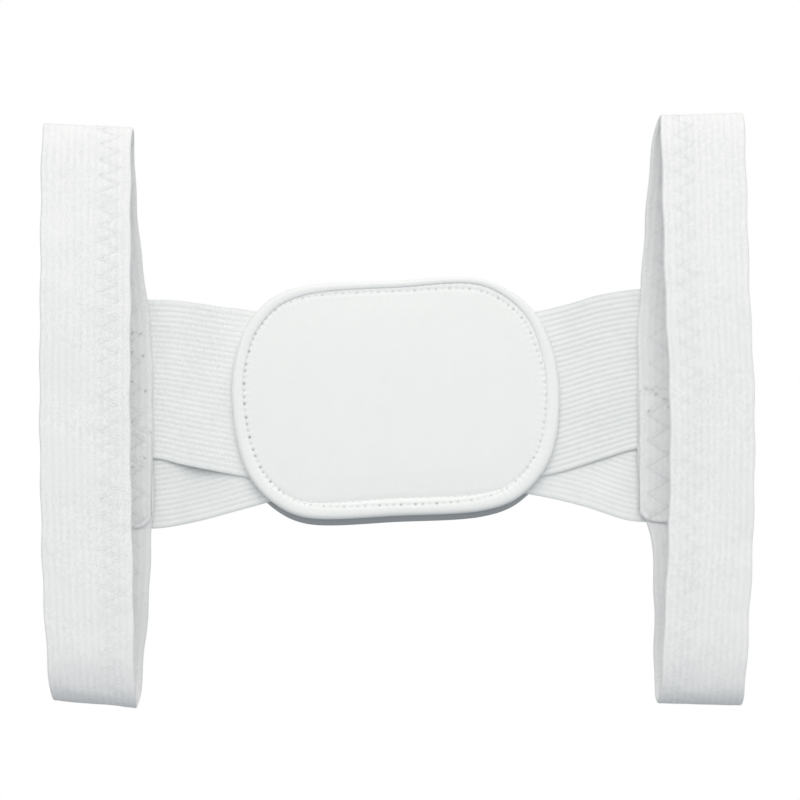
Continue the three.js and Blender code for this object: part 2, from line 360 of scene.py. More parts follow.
@dataclass(frozen=True)
class Cloth:
    """A textile finish: its colours, how matt it is, the threads that make its texture, and painted
    shade and highlight on its threads and wales.
    """

    name: str
    colour: str
    shade: str
    roughness: float
    sheen: float = 0.15
    # Threads of such cloth lie half a millimetre apart or closer, which is too fine to show in the
    # render, so all but the sewing thread are drawn about a millimetre apart or more.
    across_pitch: float = 1.0
    along_pitch: float = 1.0
    thread_relief: float = 0.02
    wale_pitch: float = 9.0
    wale_relief: float = 0.0
    fuzz_size: float = 0.8
    fuzz_relief: float = 0.04
    # Share of the shade colour: a base share, painted shade in the gaps between threads and wales
    # with painted highlight on their tops, and random tone from fibres (grain) and broad clouds
    # (cloud).
    base: float = 0.25
    wale_shade: float = 0.0
    painted_thread_shade: float = 0.1
    grain: float = 0.5
    cloud: float = 0.3
    cloud_size: float = 18.0
    # Colour and weight of the painted shade from the point layer.
    painted_shade_weight: float = 0.75
    painted_shade_colour: str = "#70757A"

    def make(self) -> bpy.types.Material:
        """Builds the finish's material.

        Returns:
            A material whose threads follow the piece's cloth map, in millimetres.
        """
        material = bpy.data.materials.new(self.name)
        material.use_nodes = True
        tree = material.node_tree
        tree.nodes.clear()
        cloth = add_node(tree, "ShaderNodeUVMap", uv_map=CLOTH_MAP)
        axes = add_node(tree, "ShaderNodeSeparateXYZ", links={"Vector": cloth.outputs["UV"]})
        warp = self._ripple(tree, axes.outputs["X"], self.across_pitch)
        weft = self._ripple(tree, axes.outputs["Y"], self.along_pitch)
        wale = self._ripple(tree, axes.outputs["X"], self.wale_pitch)
        threads = add_node(
            tree, "ShaderNodeMath", operation="MULTIPLY", links={0: warp, 1: weft}
        ).outputs[0]
        fuzz = self._noise(tree, self.fuzz_size)
        clouds = self._noise(tree, self.cloud_size)
        height = self._sum(
            tree,
            [(threads, self.thread_relief), (wale, self.wale_relief), (fuzz, self.fuzz_relief)],
        )
        relief = add_node(
            tree,
            "ShaderNodeBump",
            values={"Strength": 1.0, "Distance": METRES},
            links={"Height": height},
        )
        # Random tone, with painted shade and highlight on the threads and wales.
        tone_and_painted_groove_shade = self._sum(
            tree,
            [
                (threads, -self.painted_thread_shade),
                (wale, -self.wale_shade),
                (fuzz, self.grain),
                (clouds, self.cloud),
            ],
            self.base - (self.grain + self.cloud) / 2,
        )
        surface = add_node(
            tree,
            "ShaderNodeBsdfPrincipled",
            values={
                "Roughness": self.roughness,
                "Sheen Weight": self.sheen,
                "Sheen Roughness": 0.5,
                "Specular IOR Level": 0.25,
            },
            links={"Base Color": self._colour(tree, tone_and_painted_groove_shade), "Normal": relief.outputs["Normal"]},
        )
        add_node(tree, "ShaderNodeOutputMaterial", links={"Surface": surface.outputs["BSDF"]})
        return material

    @staticmethod
    def _ripple(
        tree: bpy.types.NodeTree, source: bpy.types.NodeSocket, pitch: float
    ) -> bpy.types.NodeSocket:
        """A wave over the cloth, from -1 to 1.

        Args:
            tree: the node tree.
            source: the place along the wave, in millimetres.
            pitch: the wave's length.

        Returns:
            The socket that holds the wave.
        """
        turn = add_node(
            tree,
            "ShaderNodeMath",
            operation="MULTIPLY",
            values={1: 2 * math.pi / pitch},
            links={0: source},
        )
        wave = add_node(tree, "ShaderNodeMath", operation="SINE", links={0: turn.outputs[0]})
        return wave.outputs[0]

    @staticmethod
    def _noise(tree: bpy.types.NodeTree, size: float) -> bpy.types.NodeSocket:
        """Noise in the object's own space.

        Args:
            tree: the node tree.
            size: the size of its spots, in millimetres.

        Returns:
            The socket that holds the noise, about 0.5 on average.
        """
        place = add_node(tree, "ShaderNodeTexCoord")
        noise = add_node(
            tree,
            "ShaderNodeTexNoise",
            values={"Scale": 1 / (size * METRES), "Detail": 3.0, "Roughness": 0.6},
            links={"Vector": place.outputs["Object"]},
        )
        return noise.outputs["Fac"]

    @staticmethod
    def _sum(
        tree: bpy.types.NodeTree,
        terms: Iterable[tuple[bpy.types.NodeSocket, float]],
        start: float = 0.0,
    ) -> bpy.types.NodeSocket:
        """Adds sockets up, each with its weight.

        Args:
            tree: the node tree.
            terms: the sockets and their weights.
            start: what the sum starts from.

        Returns:
            The socket that holds the sum.
        """
        total = None
        for source, weight in terms:
            part = add_node(
                tree,
                "ShaderNodeMath",
                operation="MULTIPLY_ADD",
                values={1: weight, 2: start},
                links={0: source} if total is None else {0: source, 2: total},
            )
            total = part.outputs[0]
        return total

    def _colour(
        self, tree: bpy.types.NodeTree, tone_and_painted_groove_shade: bpy.types.NodeSocket
    ) -> bpy.types.NodeSocket:
        """Mixes the cloth's colour with its shade, and mixes in the painted shade of needle holes,
        thread, ribs and seams.

        Args:
            tree: the node tree.
            tone_and_painted_groove_shade: the share of the shade colour, from random tone and
                painted shade of threads and wales.

        Returns:
            The socket that holds the colour.
        """
        cloth = add_node(
            tree,
            "ShaderNodeMix",
            data_type="RGBA",
            values={6: linear(self.colour), 7: linear(self.shade)},
            links={0: tone_and_painted_groove_shade},
        )
        # Painted shade from the point layer: needle holes, thread, ribs, seams and the pad's
        # underside.
        hole = add_node(tree, "ShaderNodeAttribute", attribute_name=PAINTED_SHADE_LAYER)
        depth = self._sum(tree, [(hole.outputs["Fac"], self.painted_shade_weight)])
        shaded_colour = add_node(
            tree,
            "ShaderNodeMix",
            data_type="RGBA",
            values={7: linear(self.painted_shade_colour)},
            links={0: depth, 6: cloth.outputs[2]},
        )
        return shaded_colour.outputs[2]


# Coated cloth laminated on foam: matt and even, with a faint sheen and hardly any thread.
COATED_CLOTH = Cloth(
    "laminated_foam_cloth",
    "#F1F2F1",
    "#E8EAE9",
    roughness=0.72,
    sheen=0.1,
    thread_relief=0.008,
    fuzz_relief=0.03,
    painted_thread_shade=0.05,
    grain=0.8,
    cloud=0.5,
)
# Rolled tape of the same cloth: a little smoother, with slight ripples across it.
ROLLED_TAPE = Cloth(
    "rolled_binding_tape",
    "#F2F3F2",
    "#E8EAE9",
    roughness=0.68,
    sheen=0.1,
    thread_relief=0.008,
    fuzz_size=1.1,
    painted_thread_shade=0.05,
    grain=0.6,
)
# Plain close weave behind the foam: greyer and drier, with its threads just showing, in relief and
# painted shade.
PLAIN_WEAVE = Cloth(
    "plain_weave_backing",
    "#E6E9E9",
    "#D2D6D8",
    roughness=0.9,
    thread_relief=0.05,
    painted_thread_shade=0.3,
)
# Woven elastic: the ribs are in the mesh, and weft threads cross them here, drawn coarser than real
# ones so that they show, with painted shade between them.
WOVEN_ELASTIC = Cloth(
    "woven_ribbed_elastic",
    "#F6F7F6",
    "#D5D9DA",
    roughness=0.85,
    across_pitch=1.3,
    along_pitch=1.1,
    thread_relief=0.05,
    fuzz_relief=0.07,
    painted_thread_shade=0.3,
    grain=1.6,
    cloud=0.4,
)
# Brushed double knit: soft and dry, with lengthwise wales, courses and a fuzzy face. Wales and
# courses are drawn coarser than real ones so that they show, and painted shade darkens the grooves
# between them.
BRUSHED_KNIT = Cloth(
    "brushed_double_knit",
    "#F8F8F7",
    "#DDDFE1",
    roughness=0.95,
    sheen=0.25,
    across_pitch=1.55,
    along_pitch=1.15,
    thread_relief=0.08,
    wale_pitch=3.1,
    wale_relief=0.07,
    fuzz_size=0.7,
    fuzz_relief=0.16,
    base=0.35,
    wale_shade=0.09,
    painted_thread_shade=0.35,
    grain=2.5,
)
# Spun polyester thread: as pale as the cloth, with a slight gloss on its twist.
SPUN_THREAD = Cloth(
    "spun_polyester_thread",
    "#F6F8F7",
    "#E6E9E9",
    roughness=0.6,
    sheen=0.2,
    across_pitch=0.5,
    along_pitch=0.5,
)


@dataclass(frozen=True)
class Stitch:
    """One visible stitch of thread: its ends and the way that it faces."""

    start: Vector
    end: Vector
    out: Vector


def sew(
    count: int, gap: float, spot: Callable[[float], tuple[Vector, Vector]]
) -> list[Stitch]:
    """Lays a row of stitches.

    Args:
        count: how many there are.
        gap: the share of a stitch's length that each of its ends leaves free.
        spot: for a share of the row, the thread's place and the way that it faces.

    Returns:
        The stitches.
    """
    stitches = []
    for k in range(count):
        start, _ = spot((k + gap) / count)
        end, out = spot((k + 1 - gap) / count)
        stitches.append(Stitch(start, end, out))
    return stitches


@dataclass(frozen=True)
class Zigzag:
    """A zigzag seam: how far its middle lies from the inner edge, and half its width."""

    middle: float
    half: float

    def inset(self, phase: float) -> float:
        """How far from the inner edge it lies after so many of its turns."""
        return self.middle + self.half * (abs(4 * (phase % 1.0) - 2) - 1)

    def apart(self, inward: float, phase: float, pitch: float) -> float:
        """How far a point lies from it, where it turns once in every pitch."""
        return abs(inward - self.inset(phase)) / math.hypot(1, 4 * self.half / pitch)


@dataclass
class Stitching:
    """Sewing thread: each stitch is a rounded bead that dips into the cloth at both ends."""

    thread: float = 0.3
    taper: float = 0.6
    flatness: float = 0.75
    girth: float = 2.0
    pitch: float = 4.0
    sides: int = 6
    rings: int = 6

    def build(self, stitches: list[Stitch]) -> bmesh.types.BMesh:
        """Makes the stitches.

        Args:
            stitches: where they lie.

        Returns:
            One mesh that holds them all.
        """
        lines = self.rings + 1
        frames = []
        for stitch in stitches:
            run = stitch.end - stitch.start
            out = (stitch.out - run * stitch.out.dot(run) / run.length_squared).normalized()
            frames.append((run, out, out.cross(run).normalized()))

        def place(column: int, row: int) -> Vector:
            """A point of a bead, which narrows to nothing at both ends."""
            number, line = divmod(row, lines)
            run, out, beside = frames[number]
            share = line / self.rings
            inside = 0 < line < self.rings
            radius = self.thread * math.sin(math.pi * share) ** self.taper if inside else 0.0
            angle = 2 * math.pi * column / self.sides
            across = beside * math.cos(angle) + out * math.sin(angle) * self.flatness
            return stitches[number].start + run * share + across * radius

        length = self.pitch * len(stitches)
        grid = ClothGrid(self.sides, len(stitches) * lines - 1, self.girth, length)
        mesh = grid.build(place)
        loose = [edge for edge in mesh.edges if not edge.link_faces]
        bmesh.ops.delete(mesh, geom=loose, context="EDGES")
        return mesh


@dataclass(frozen=True)
class Nest:
    """A square grid read as rings: each ring's share of a turn, and its number from the rim in."""

    rings: int

    @property
    def steps(self) -> int:
        """How many quads the grid has along a side."""
        return 2 * self.rings

    def read(self, column: int, row: int) -> tuple[float, int]:
        """Turns a place in the grid into a place on its rings.

        Args:
            column: the column of the point.
            row: the row of the point.

        Returns:
            The share of a turn, anticlockwise from the right, and the ring, 0 at the rim.
        """
        right, up = column - self.rings, row - self.rings
        reach = max(abs(right), abs(up))
        if reach == 0:
            return 0.0, self.rings
        if right == reach:
            eighths = up / reach
        elif up == reach:
            eighths = 2 - right / reach
        elif right == -reach:
            eighths = 4 - up / reach
        else:
            eighths = 6 + right / reach
        return (eighths / 8) % 1.0, self.rings - reach


@dataclass
class PadShape:
    """The pad's outline, and the heights of its binding and face, which its pieces share."""

    width: float = 158.0
    height: float = 115.0
    centre_x: float = -2.0
    centre_z: float = 1.0
    crest: float = -0.5
    binding_middle: float = 2.75
    face_back: float = 6.0
    crown: float = 0.7
    crown_reach: float = 15.0
    seam_reach: float = 1.7
    stitch_pitch: float = 3.15
    groove: float = 0.3
    hole: float = 0.6
    clearance: float = -0.1
    row_inset: float = 6.0
    crest_share: float = 0.45
    floor_drop: float = 0.25
    roll_power: float = 2.3
    groove_reach: float = 0.9
    ruck: float = 0.07
    ruck_reach: float = 3.0
    needle_depth: float = 1.05
    needle_reach: float = 0.5
    needle_rhythm: float = 2.4
    thread_gap: float = 0.14
    thread_lift: float = 0.08

    # Shares of half the pad's width and height, anticlockwise from its right side.
    OUTLINE = [
        (0.998, -0.04), (0.97, 0.33), (0.871, 0.67), (0.724, 0.873), (0.511, 1.0), (0.025, 0.984),
        (-0.582, 0.93), (-0.765, 0.826), (-0.911, 0.597), (-0.982, 0.313), (-1.0, 0.035),
        (-0.962, -0.4), (-0.88, -0.685), (-0.744, -0.883), (-0.557, -1.0), (0.025, -0.986),
        (0.532, -0.943), (0.722, -0.856), (0.863, -0.685), (0.957, -0.452),
    ]
    # Round the outline from its right side: how far in the binding meets the face, how far in the
    # row of stitches lies, how deep the crease between binding and face is, and how open the needle
    # holes stand, which sets their dent and their painted shade.
    SEAM = [
        (-0.07, 7.6, 7.5, 0.5, 0.6), (0.0, 6.6, 6.9, 0.5, 0.5), (0.06, 5.8, 7.4, 0.9, 0.6),
        (0.12, 4.3, 6.6, 0.9, 0.8), (0.18, 3.2, 5.8, 0.7, 0.7), (0.25, 3.5, 5.4, 0.6, 0.55),
        (0.33, 4.2, 5.6, 0.6, 0.55), (0.4, 5.6, 5.8, 0.6, 0.6), (0.5, 6.0, 6.1, 0.5, 1.2),
        (0.58, 6.8, 6.8, 0.6, 1.1), (0.65, 7.4, 6.7, 1.0, 0.6), (0.72, 8.2, 5.8, 1.4, 0.6),
        (0.78, 8.4, 5.3, 1.5, 1.0), (0.84, 8.2, 5.9, 1.4, 0.5), (0.89, 7.9, 7.2, 0.9, 0.5),
        (0.93, 7.6, 7.5, 0.6, 0.6), (1.0, 6.6, 6.9, 0.5, 0.5),
    ]

    def __post_init__(self) -> None:
        """Lays the outline's curve."""
        self.seams: dict[float, tuple[float, ...]] = {}
        half_width, half_height = self.width / 2, self.height / 2
        self.curve = ClosedCurve(
            [
                Vector((self.centre_x + across * half_width, 0, self.centre_z + up * half_height))
                for across, up in self.OUTLINE
            ]
        )
        row_length = self.curve.length - 2 * math.pi * self.row_inset
        self.stitches = round(row_length / self.stitch_pitch)

    @property
    def middle(self) -> Vector:
        """The middle of the pad."""
        return Vector((self.centre_x, 0.0, self.centre_z))

    def low(self, height: float) -> float:
        """How low on the pad a height lies, 0 at its top and 1 at its bottom."""
        return 0.5 - (height - self.centre_z) / self.height

    def at(self, turn: float, inset: float, y: float = 0.0) -> Vector:
        """A point a little inside the outline.

        Args:
            turn: the share of the outline's length.
            inset: how far in from the outline.
            y: its depth.

        Returns:
            The point.
        """
        edge, along = self.curve.point(turn), self.curve.tangent(turn)
        return Vector((edge.x - inset * along.z, y, edge.z + inset * along.x))

    def seam(self, turn: float) -> tuple[float, ...]:
        """Reads the seam's table.

        Args:
            turn: the share of the outline's length.

        Returns:
            The insets of crease and stitches, the crease's depth and how open the holes stand.
        """
        at = turn % 1.0
        if at not in self.seams:
            self.seams[at] = tuple(along_rows(self.SEAM, at, column) for column in range(1, 5))
        return self.seams[at]

    def needle(self, turn: float, inset: float) -> float:
        """How deep in a needle hole a point lies, which sets both the hole's dent and its painted
        shade.

        Args:
            turn: the share of the outline's length.
            inset: how far in from the outline.

        Returns:
            About 1 in the middle of an open hole, more where it stands wide, and 0 far from any.
        """
        phase = turn * self.stitches
        number = round(phase)
        _, seam, _, wide = self.seam(turn)
        stand = wide * (0.6 + 0.4 * math.sin(number * self.needle_rhythm))
        apart = math.hypot((phase - number) * self.stitch_pitch, inset - seam)
        return self.needle_depth * stand * bell(apart, self.needle_reach)

    def relief(self, turn: float, inset: float) -> float:
        """How far the stitches draw the surface in at a point."""
        apart = inset - self.seam(turn)[1]
        wave = math.cos(2 * math.pi * turn * self.stitches)
        ruck = self.ruck * bell(apart, self.ruck_reach) * wave
        groove = self.groove * bell(apart, self.groove_reach)
        return groove + self.hole * self.needle(turn, inset) + ruck

    def face_y(self, turn: float, inset: float) -> float:
        """The depth of the face at a point, before any swelling."""
        crease, _, depth, _ = self.seam(turn)
        inside = max(0.0, inset - crease)
        edge = (depth - self.crown / 2) * math.exp(-inside / self.seam_reach)
        border = 1 - smoothstep(inside, 0, self.crown_reach)
        return edge + self.crown * border * 0.5 + self.relief(turn, inset)

    def roll(self, turn: float) -> tuple[float, float, float]:
        """The insets of the binding's crest and crease, and the depth of the crease's floor."""
        crease, _, depth, _ = self.seam(turn)
        return crease * self.crest_share, crease, depth + self.floor_drop

    def binding_y(self, turn: float, inset: float) -> float:
        """The depth of the binding's front between its crest and the crease."""
        top, crease, floor = self.roll(turn)
        share = min(1.0, max(0.0, (inset - top) / (crease - top)))
        power = self.roll_power
        return floor - (floor - self.crest) * (1 - share**power) ** (1 / power)

    def front_y(self, turn: float, inset: float) -> float:
        """The depth of whatever piece shows at a point of the pad's front."""
        crease = self.seam(turn)[0]
        if inset < crease:
            return self.binding_y(turn, inset) + self.relief(turn, inset)
        return self.face_y(turn, inset)

    def thread_row(self) -> list[Stitch]:
        """The row of stitches inside the binding.

        Returns:
            The stitches.
        """

        def spot(turn: float) -> tuple[Vector, Vector]:
            """The thread's place, just over the surface."""
            inset = self.seam(turn)[1]
            return self.at(turn, inset, self.front_y(turn, inset) - self.thread_lift), FORWARDS

        return sew(self.stitches, self.thread_gap, spot)


@dataclass
class PadBinding:
    """The rolled tape round the pad."""

    shape: PadShape
    rows: int = 1100
    quarter: int = 10
    rear_round: float = 1.6
    rear_steps: int = 5
    roll_ease: float = 0.85
    outer_free: float = 0.5
    tape_width: float = 26.0

    def section(self, turn: float) -> list[tuple[float, float]]:
        """The roll's section, from its outer edge over its crest and back behind it.

        Args:
            turn: the share of the outline's length.

        Returns:
            Inset and depth of each point.
        """
        shape, right = self.shape, math.pi / 2
        middle, back = shape.binding_middle, shape.face_back
        top, crease, floor = shape.roll(turn)
        points = []
        for k in range(self.quarter):
            angle = right * k / self.quarter
            inset = top * (1 - math.cos(angle) ** self.roll_ease)
            y = middle - (middle - shape.crest) * math.sin(angle) ** self.roll_ease
            points.append((inset, y))
        for k in range(2 * self.quarter):
            inset = mix(top, crease, math.sin(right * k / (2 * self.quarter)))
            points.append((inset, shape.binding_y(turn, inset)))
        points += [(crease, floor), (crease, mix(floor, back, 0.5))]
        points += [(crease, back), (mix(crease, self.rear_round, 0.5), back)]
        for k in range(self.rear_steps):
            angle = right * k / self.rear_steps
            inset = self.rear_round * (1 - math.sin(angle))
            points.append((inset, mix(middle, back, math.cos(angle))))
        return points

    def build(self, material: bpy.types.Material) -> bpy.types.Object:
        """Builds and dresses the binding.

        Args:
            material: its finish.

        Returns:
            The piece.
        """
        shape = self.shape
        sections = [self.section(row / self.rows) for row in range(self.rows)]
        columns = len(sections[0])

        def spot(column: int, row: int) -> tuple[float, float, float]:
            """The turn, inset and depth of a place in the grid."""
            line = row % self.rows
            return (line / self.rows, *sections[line][column % columns])

        def place(column: int, row: int) -> Vector:
            """The surface there, drawn in by the stitches on its front."""
            turn, inset, y = spot(column, row)
            front = inset > self.outer_free and y < shape.binding_middle
            return shape.at(turn, inset, y + (shape.relief(turn, inset) if front else 0.0))

        def hole(column: int, row: int) -> float:
            """The painted shade of a needle hole at that place."""
            turn, inset, y = spot(column, row)
            return shape.needle(turn, inset) if y < shape.binding_middle else 0.0

        grid = ClothGrid(columns, self.rows, self.tape_width, shape.curve.length)
        mesh = grid.build(place, hole)
        return dress("pad_binding_roll", mesh, material, Slot.TAPE, ["pad_binding"])


@dataclass
class PadFace:
    """The foam panel inside the binding, drawn down to its seam and swollen between."""

    shape: PadShape
    nest: Nest = Nest(100)
    coarse: Nest = Nest(30)
    wall: float = 0.02
    border: float = 0.34
    border_width: float = 13.5
    pinned: float = 0.14
    swell: float = 1.2
    pressure: float = 4.0
    frames: int = 20
    flat_reach: float = 0.3

    def spread(self, nest: Nest, column: int, row: int) -> tuple[float, float, float, float]:
        """Lays a place of a grid out over the panel.

        Args:
            nest: the grid.
            column: the place's column.
            row: the place's row.

        Returns:
            Its share of a turn, its share of the way in, its inset from the pad's outline, and how
            far it is drawn from there to the pad's middle.
        """
        turn, ring = nest.read(column, row)
        share = ring / nest.rings
        edge = self.shape.seam(turn)[0] + self.shape.clearance
        near = min(1.0, max(0.0, share - self.wall) / (self.border - self.wall))
        toward = max(0.0, share - self.border) / (1 - self.border)
        return turn, share, edge + near * self.border_width, toward

    def swollen(self) -> list[list[float]]:
        """Lets the panel's cloth swell by simulation, on a coarse copy of its grid.

        Returns:
            How far each point of the coarse grid moves forwards, in millimetres.
        """
        steps, shape = self.coarse.steps, self.shape
        mesh = bmesh.new()
        bmesh.ops.create_grid(mesh, x_segments=steps, y_segments=steps, size=0.5)
        spots = [(round((v.co.x + 0.5) * steps), round((v.co.y + 0.5) * steps)) for v in mesh.verts]
        held = []
        for vert, (column, row) in zip(mesh.verts, spots):
            turn, share, inset, toward = self.spread(self.coarse, column, row)
            vert.co = shape.at(turn, inset).lerp(shape.middle, toward) * METRES
            if share < self.pinned:
                held.append(vert.index)
        mesh.normal_update()
        face_forwards(mesh)
        cloth = as_object("coarse_face", mesh)
        cloth.vertex_groups.new(name="held").add(held, 1.0, "REPLACE")
        settings = cloth.modifiers.new("swelling", "CLOTH").settings
        settings.vertex_group_mass = "held"
        settings.use_pressure = True
        settings.uniform_pressure_force = self.pressure
        settings.effector_weights.gravity = 0
        for number in range(1, self.frames + 1):
            bpy.context.scene.frame_set(number)
        result = cloth.evaluated_get(bpy.context.evaluated_depsgraph_get()).to_mesh()
        moves = [[0.0] * (steps + 1) for _ in range(steps + 1)]
        for vert, (column, row) in zip(result.vertices, spots):
            moves[column][row] = min(self.swell, max(0.0, -vert.co.y / METRES))
        data = cloth.data
        bpy.data.objects.remove(cloth)
        bpy.data.meshes.remove(data)
        bpy.context.scene.frame_set(1)
        return moves

    def build(self, material: bpy.types.Material) -> bpy.types.Object:
        """Builds and dresses the face.

        Args:
            material: its finish.

        Returns:
            The piece.
        """
        shape, steps = self.shape, self.nest.steps
        moves = self.swollen()
        scale = self.coarse.steps / steps

        def lift(column: int, row: int) -> float:
            """How far the swelling lifts a place in the grid."""
            across, up = column * scale, row * scale
            i, j = (min(int(value), self.coarse.steps - 1) for value in (across, up))
            low = mix(moves[i][j], moves[i + 1][j], across - i)
            high = mix(moves[i][j + 1], moves[i + 1][j + 1], across - i)
            return mix(low, high, up - j)

        def place(column: int, row: int) -> Vector:
            """The panel's surface there, with its rim turned back."""
            turn, share, inset, toward = self.spread(self.nest, column, row)
            point = shape.at(turn, inset).lerp(shape.middle, toward)
            flat = 1 - smoothstep(toward, 0, self.flat_reach)
            front = shape.face_y(turn, inset) * flat - lift(column, row)
            point.y = front if share else shape.face_back
            return point

        def hole(column: int, row: int) -> float:
            """The painted shade of a needle hole at that place."""
            turn, _, inset, toward = self.spread(self.nest, column, row)
            return 0.0 if toward else shape.needle(turn, inset)

        mesh = ClothGrid(steps, steps, shape.width, shape.height).build(place, hole)
        close_rim(mesh)
        face = dress("pad_face_panel", mesh, material, Slot.FACE, ["pad_front"])
        return face


@dataclass(frozen=True)
class LegTable:
    """What differs between the legs: side, layer, how far it sags back, and its rows.

    A row gives the reach from the pad's middle, the rise of the leg's middle and its spread.
    """

    name: str
    side: Side
    layer: int
    sag: float
    rib_shadow: float
    rows: list[tuple[float, float, float]]


LEGS = [
    LegTable(
        "left_upper", Side.LEFT, layer=0, sag=0.0, rib_shadow=0.08,
        rows=[(0, -0.115, 1.03), (0.61, 0.034, 1.037), (0.76, 0.07, 1.025), (0.9, 0.107, 1.01),
              (1, 0.128, 0.98), (1.3, 0.14, 0.97)],
    ),
    LegTable(
        "left_lower", Side.LEFT, layer=1, sag=4.0, rib_shadow=0.16,
        rows=[(0, 0.08, 1.03), (0.55, -0.122, 1.03), (0.69, -0.182, 1.025), (0.84, -0.249, 1.01),
              (1, -0.302, 0.98), (1.3, -0.31, 0.97)],
    ),
    LegTable(
        "right_upper", Side.RIGHT, layer=0, sag=0.0, rib_shadow=0.24,
        rows=[(0, -0.135, 1.03), (0.58, 0.037, 1.03), (0.69, 0.078, 1.03), (0.83, 0.142, 1.02),
              (1, 0.195, 0.98), (1.3, 0.2, 0.97)],
    ),
    LegTable(
        "right_lower", Side.RIGHT, layer=1, sag=0.4, rib_shadow=0.05,
        rows=[(0, 0.05, 1.03), (0.56, -0.076, 1.03), (0.76, -0.149, 1.02), (0.92, -0.241, 0.99),
              (1, -0.262, 0.98), (1.3, -0.27, 0.97)],
    ),
]


def half_round(steps: int) -> list[tuple[float, float]]:
    """How far out and how far round, from 1 to -1, the points inside a half circle lie."""
    angles = [math.pi * k / steps for k in range(1, steps)]
    return [(math.sin(angle), math.cos(angle)) for angle in angles]


@dataclass
class ElasticLeg:
    """A leg of ribbed elastic, from inside the pad to behind a loop's back layer."""

    table: LegTable
    width: float = 78.0
    thickness: float = 1.3
    ribs: int = 30
    rib_relief: float = 0.24
    rib_steps: int = 8
    edge_steps: int = 4
    rows: int = 62
    parting: float = 1.0
    front: float = 6.3
    layer_step: float = 1.6
    sweep: float = 6.0
    sweep_from: float = 81.0
    strap_edge: float = 116.8
    lap: float = 33.0
    sag_at: float = 97.0
    sag_reach: float = 11.0
    rib_power: float = 0.6
    stitch_pitch: float = 3.0
    sewn_in: float = 4.5
    hem: float = 2.0
    thread_gap: float = 0.1
    thread_sunk: float = 0.05

    def edges(self, distance: float) -> tuple[float, float]:
        """The heights of the leg's top and bottom edges at a distance from the pad's middle."""
        reach = distance / self.strap_edge
        middle = along_rows(self.table.rows, reach, 1) * self.width
        half = along_rows(self.table.rows, reach, 2) * self.width / 2
        return middle + half, middle - half

    def surface_y(self, distance: float) -> float:
        """The depth of the leg's front at a distance from the pad's middle."""
        bend = self.sweep * smoothstep(distance, self.sweep_from, self.strap_edge)
        sag = self.table.sag * bell(distance - self.sag_at, self.sag_reach)
        return self.front + self.table.layer * self.layer_step - bend + sag

    def section(self) -> list[tuple[float, float]]:
        """Goes once round the leg's section, down its front and up its rear.

        Returns:
            For each point the share of the width from the top, and the depth behind the front.
        """
        half = self.thickness / 2
        flat = self.ribs * self.rib_steps
        margin = half / self.width
        front = [
            (mix(margin, 1 - margin, k / flat), self._groove(k / flat)) for k in range(flat + 1)
        ]
        edge = half_round(self.edge_steps)
        points = front + [(1 - margin + margin * out, half - half * turned) for out, turned in edge]
        points += [(share, self.thickness - depth) for share, depth in reversed(front)]
        points += [(margin - margin * out, half + half * turned) for out, turned in edge]
        return points

    def _groove(self, share: float) -> float:
        """How deep the rib's surface lies at a share of the way across."""
        return self.rib_relief * (1 - abs(math.sin(math.pi * share * self.ribs)) ** self.rib_power)

    def build(self, material: bpy.types.Material) -> bpy.types.Object:
        """Builds and dresses the leg.

        Args:
            material: its finish.

        Returns:
            The piece.
        """
        section = self.section()
        columns = len(section)
        reach = self.strap_edge + self.lap - self.parting

        def place(column: int, row: int) -> Vector:
            """The leg's surface at a place in the grid."""
            distance = self.parting + reach * row / self.rows
            top, bottom = self.edges(distance)
            share, depth = section[column % columns]
            y = self.surface_y(distance) + depth
            return Vector((self.table.side.value * distance, y, mix(top, bottom, share)))

        def hole(column: int, row: int) -> float:
            """The shade between the ribs there."""
            share, depth = section[column % columns]
            groove = min(1.0, min(depth, self.thickness - depth) / self.rib_relief)
            return self.table.rib_shadow * groove

        grid = ClothGrid(columns, self.rows, 2 * self.width, reach)
        mesh = grid.build(place, hole)
        close_rim(mesh)
        name, node = f"elastic_{self.table.name}", f"band_{self.table.name}"
        piece = dress(name, mesh, material, Slot.ELASTIC, [node])
        return piece

    def stitches(self) -> list[Stitch]:
        """Two rows of thread behind the loop, which sew the leg down.

        Returns:
            The stitches.
        """
        stitches = []
        for distance in (self.strap_edge + self.sewn_in, self.strap_edge + self.lap - self.sewn_in):
            top, bottom = self.edges(distance)
            low, high = bottom + self.hem, top - self.hem
            x = self.table.side.value * distance
            y = self.surface_y(distance) + self.thickness - self.thread_sunk

            def spot(share: float) -> tuple[Vector, Vector]:
                """The thread's place on this row, from its bottom up."""
                return Vector((x, y, mix(low, high, share))), BACKWARDS

            stitches += sew(round((high - low) / self.stitch_pitch), self.thread_gap, spot)
        return stitches


